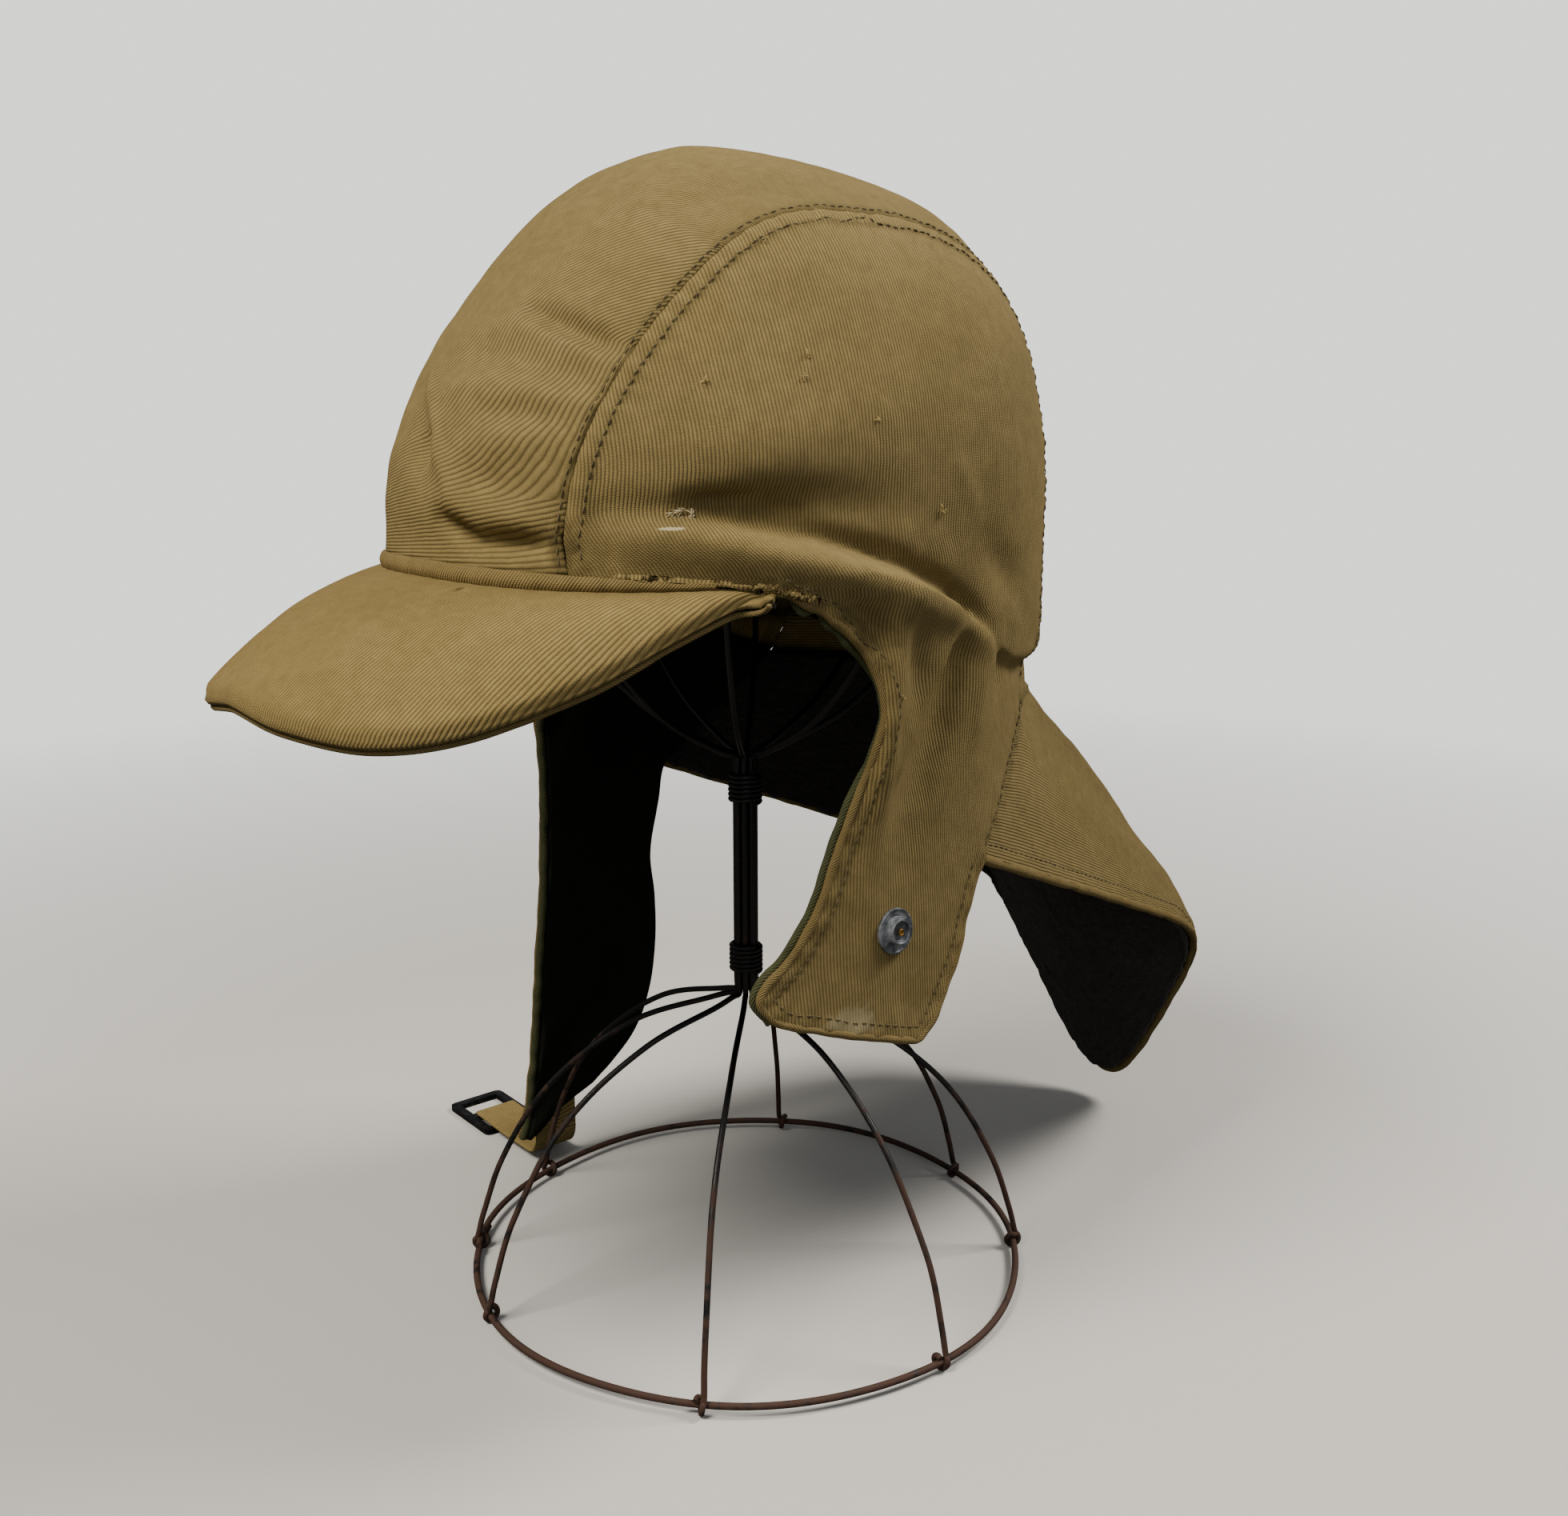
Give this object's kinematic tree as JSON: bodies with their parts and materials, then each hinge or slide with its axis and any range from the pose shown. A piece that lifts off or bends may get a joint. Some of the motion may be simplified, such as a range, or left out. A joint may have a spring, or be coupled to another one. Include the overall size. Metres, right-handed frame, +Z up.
{
  "type": "deck hat on wire stand",
  "caption": "Ribbed cotton deck cap with short bill, ear flaps, neck flap and dark lining, held on a wire hat stand",
  "frame": {"origin": "middle of the whole object's footprint box, on the surface that the stand's base ring rests on", "axes": "+X to the wearer's left, -Y to the hat's front, +Z up"},
  "size_m": [0.277, 0.386, 0.3848],
  "materials": {
    "khaki_cotton": "ribbed cotton, worn and faded",
    "olive_lining": "smooth dark cotton lining",
    "pile_lining": "napped pile",
    "dark_metal": "blackened, worn",
    "tan_webbing": "woven webbing",
    "black_wire": "black enamel, rusted in places"
  },
  "bodies": {
    "root": {"crown_center_panel": "khaki_cotton", "side_panel_left": "khaki_cotton", "side_panel_right": "khaki_cotton", "neck_flap": "khaki_cotton", "bill": "khaki_cotton", "bill_welt": "khaki_cotton", "lining_crown": "olive_lining", "lining_ear_left": "olive_lining", "lining_ear_right": "olive_lining", "lining_neck": "pile_lining", "snap_stud": "dark_metal", "chin_strap": "tan_webbing", "strap_slide": "dark_metal", "stand_wire_1": "black_wire", "stand_wire_2": "black_wire", "stand_wire_3": "black_wire", "stand_wire_4": "black_wire", "stand_wire_5": "black_wire", "stand_wire_6": "black_wire", "stand_wire_7": "black_wire", "stand_wire_8": "black_wire", "base_ring": "black_wire", "binding_upper": "black_wire", "binding_lower": "black_wire"}
  },
  "joints": []
}
